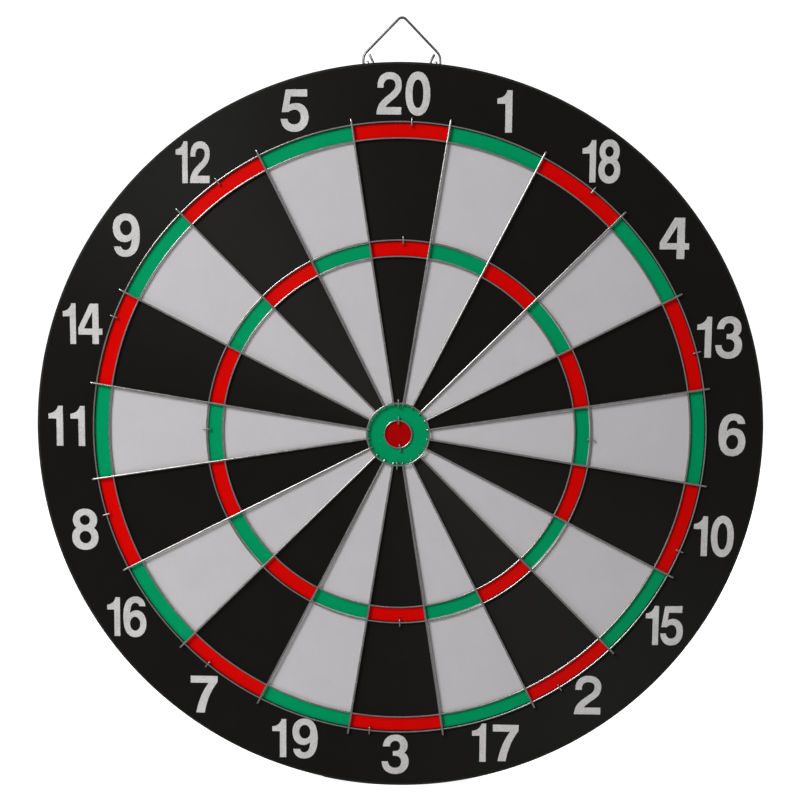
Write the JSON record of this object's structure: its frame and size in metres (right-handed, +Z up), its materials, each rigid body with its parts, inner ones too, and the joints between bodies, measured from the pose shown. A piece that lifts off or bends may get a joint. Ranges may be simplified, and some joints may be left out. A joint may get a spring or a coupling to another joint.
{
  "type": "dartboard",
  "caption": "Round wound-paper dartboard with a flocked, numbered face, a stapled wire spider, and a triangular wire hanger that swings on two staples in the rim.",
  "frame": {"origin": "on the back face, on the axis of the bull, so the plane Y = 0 is the wall", "axes": "+Z up through the 20 bed and the hanger, -Y out of the playing face towards the player, +X to the player's right"},
  "size_m": [0.406, 0.0232, 0.4327],
  "materials": {
    "wound_paper": "matte",
    "rim_band": "matte",
    "flocked_face": "matte",
    "back_sheet": "matte",
    "spider_wire": "satin",
    "staple": "satin",
    "bail": "polished"
  },
  "bodies": {
    "board": {"board_core": "wound_paper", "rim_band": "rim_band", "front_face_sheet": "flocked_face", "back_face_sheet": "back_sheet", "double_ring_outer_wire": "spider_wire", "double_ring_inner_wire": "spider_wire", "treble_ring_outer_wire": "spider_wire", "treble_ring_inner_wire": "spider_wire", "outer_bull_ring_wire": "spider_wire", "bullseye_ring_wire": "spider_wire", "radial_wire_01": "spider_wire", "radial_wire_02": "spider_wire", "radial_wire_03": "spider_wire", "radial_wire_04": "spider_wire", "radial_wire_05": "spider_wire", "radial_wire_06": "spider_wire", "radial_wire_07": "spider_wire", "radial_wire_08": "spider_wire", "radial_wire_09": "spider_wire", "radial_wire_10": "spider_wire", "radial_wire_11": "spider_wire", "radial_wire_12": "spider_wire", "radial_wire_13": "spider_wire", "radial_wire_14": "spider_wire", "radial_wire_15": "spider_wire", "radial_wire_16": "spider_wire", "radial_wire_17": "spider_wire", "radial_wire_18": "spider_wire", "radial_wire_19": "spider_wire", "radial_wire_20": "spider_wire", "double_ring_staple_01": "staple", "double_ring_staple_02": "staple", "double_ring_staple_03": "staple", "double_ring_staple_04": "staple", "double_ring_staple_05": "staple", "double_ring_staple_06": "staple", "double_ring_staple_07": "staple", "double_ring_staple_08": "staple", "double_ring_staple_09": "staple", "double_ring_staple_10": "staple", "treble_ring_staple_01": "staple", "treble_ring_staple_02": "staple", "treble_ring_staple_03": "staple", "treble_ring_staple_04": "staple", "outer_bull_staple_01": "staple", "outer_bull_staple_02": "staple", "bullseye_staple_01": "staple", "bullseye_staple_02": "staple", "hanger_staple_left": "staple", "hanger_staple_right": "staple"},
    "bail": {"hanging_bail": "bail"}
  },
  "joints": [
    {"name": "bail_swing", "type": "hinge", "parent": "board", "child": "bail", "pos_m": [0, -0.01, 0.20337], "axis": [1, 0, 0], "range_deg": [-91, 91]}
  ]
}
